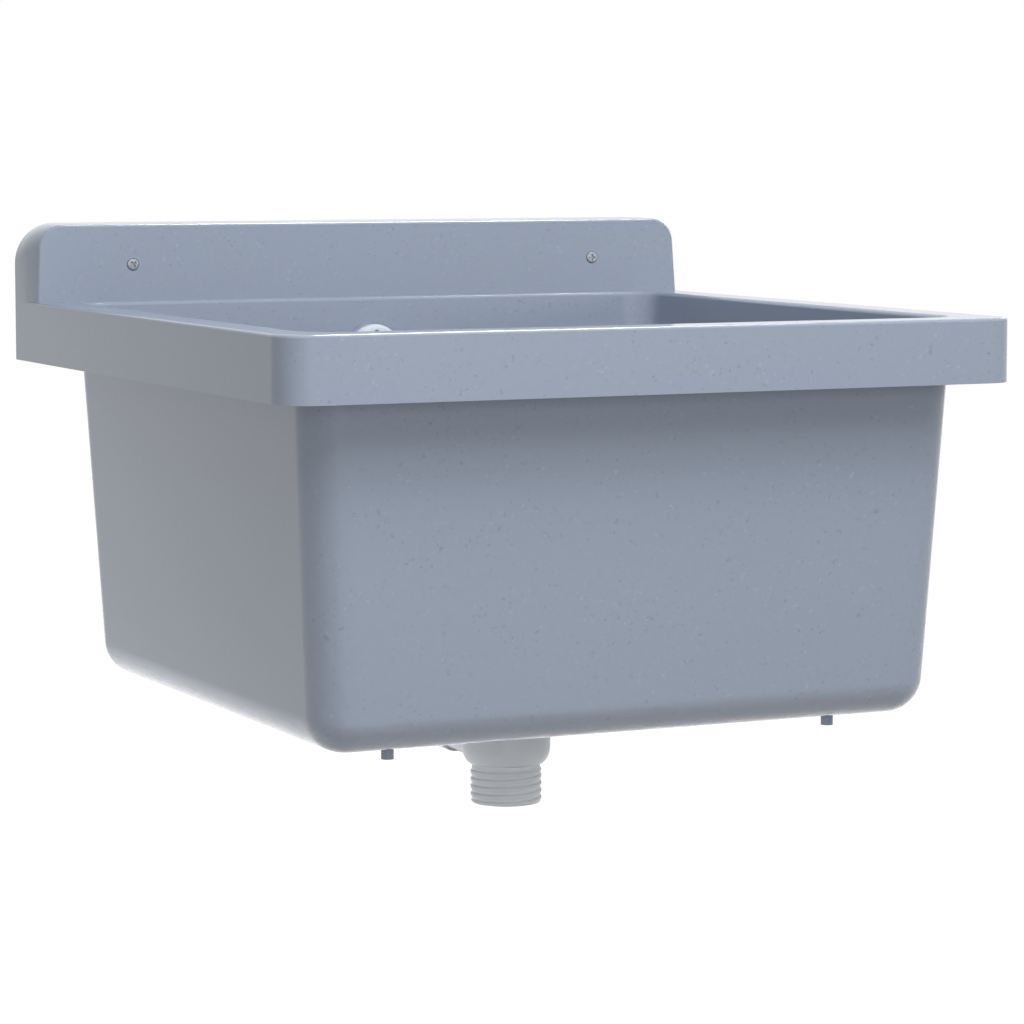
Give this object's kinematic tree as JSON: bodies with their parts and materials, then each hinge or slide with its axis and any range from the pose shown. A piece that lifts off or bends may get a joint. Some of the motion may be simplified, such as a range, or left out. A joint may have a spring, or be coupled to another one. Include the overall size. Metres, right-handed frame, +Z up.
{
  "type": "wall-mounted utility sink",
  "caption": "Deep square wall-hung utility sink with a low backsplash, strainer waste with lift-out plug, overflow hose and threaded outlet.",
  "frame": {"origin": "midway between the two wall fixings, on the wall plane", "axes": "+X right seen from the front, +Y into the wall, +Z up"},
  "size_m": [0.5, 0.539, 0.382],
  "materials": {
    "basin_plastic": "fine speckled blue-grey moulding, satin",
    "waste_plastic": "pale grey moulding, satin",
    "white_plastic": "white moulding, glossy",
    "hose_plastic": "pale grey flexible plastic",
    "steel": "stainless, satin",
    "brass": "turned brass",
    "rubber": "black rubber, matt"
  },
  "bodies": {
    "sink": {"basin": "basin_plastic", "wall_screws": "steel", "strainer": "steel", "strainer_seal": "rubber", "strainer_screw": "steel", "waste_seal": "rubber", "waste_body": "waste_plastic", "waste_nut": "brass", "overflow_rosette": "white_plastic", "overflow_screw": "steel", "overflow_seal": "rubber", "overflow_elbow": "waste_plastic", "overflow_nut": "brass", "overflow_hose": "hose_plastic", "hose_cuffs": "waste_plastic"},
    "plug": {"drain_plug": "rubber", "plug_eye": "steel"},
    "pull_ring": {"plug_ring": "steel"}
  },
  "joints": [
    {"name": "plug_lift", "type": "slide", "parent": "sink", "child": "plug", "axis": [0, 0, 1], "range_m": [0, 0.3]},
    {"name": "ring_swing", "type": "hinge", "parent": "plug", "child": "pull_ring", "pos_m": [0, -0.27213, -0.269], "axis": [0, -1, 0], "range_deg": [0, 205]}
  ]
}
